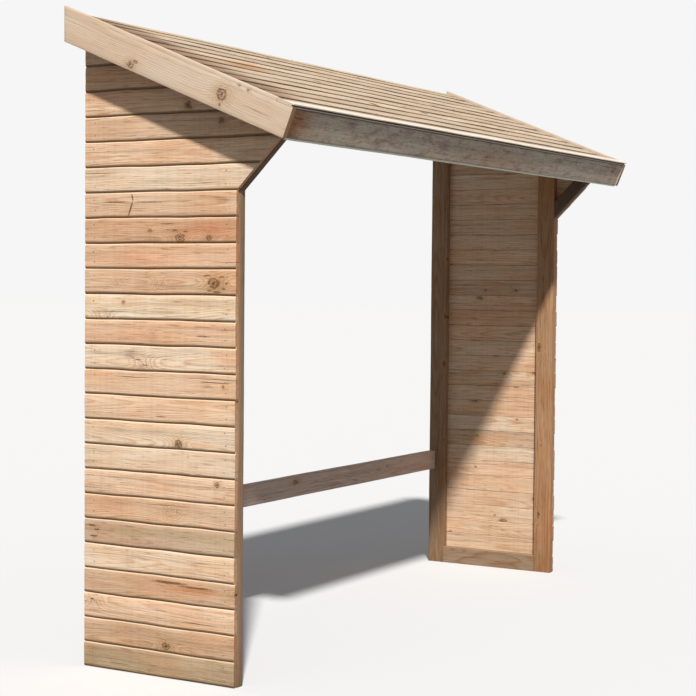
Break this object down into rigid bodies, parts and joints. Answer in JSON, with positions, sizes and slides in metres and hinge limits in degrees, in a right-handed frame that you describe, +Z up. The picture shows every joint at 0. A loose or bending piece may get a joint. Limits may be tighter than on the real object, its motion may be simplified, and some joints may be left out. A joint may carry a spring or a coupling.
{
  "type": "log store",
  "caption": "Timber lean-to log store with boarded sides, open front and back, and a sloping boarded roof with bargeboards and a fascia.",
  "frame": {"origin": "on the ground, at the middle of the bounding box of the whole store", "axes": "+X along the wall, to the right as seen from the open front; +Y into the wall behind the store; +Z up"},
  "size_m": [2.658, 0.85, 2.101],
  "materials": {
    "side_boards": "sawn pine boards, honey coloured, weathered",
    "framing": "sawn softwood, brown from preservative",
    "bargeboards": "planed pine, pale, with knots",
    "fascia": "weathered grey-brown softwood",
    "roof_boards": "pale weathered softwood, coarse grain"
  },
  "bodies": {
    "root": {"left_wall_boards": "side_boards", "left_gable_boards": "side_boards", "left_front_post": "framing", "left_back_post": "framing", "left_roof_rail": "framing", "left_flare_batten": "framing", "left_bottom_rail": "framing", "left_verge_batten": "framing", "left_bargeboard": "bargeboards", "right_wall_boards": "side_boards", "right_gable_boards": "side_boards", "right_front_post": "framing", "right_back_post": "framing", "right_roof_rail": "framing", "right_flare_batten": "framing", "right_bottom_rail": "framing", "right_verge_batten": "framing", "right_bargeboard": "bargeboards", "low_back_rail": "framing", "high_back_rail": "framing", "rafter_1": "framing", "rafter_2": "framing", "rafter_3": "framing", "eaves_beam": "framing", "fascia": "fascia", "eaves_strip": "bargeboards", "roof_board_01": "roof_boards", "roof_board_02": "roof_boards", "roof_board_03": "roof_boards", "roof_board_04": "roof_boards", "roof_board_05": "roof_boards", "roof_board_06": "roof_boards", "roof_board_07": "roof_boards", "roof_board_08": "roof_boards", "roof_board_09": "roof_boards", "roof_board_10": "roof_boards", "roof_board_11": "roof_boards", "roof_board_12": "roof_boards"}
  },
  "joints": []
}
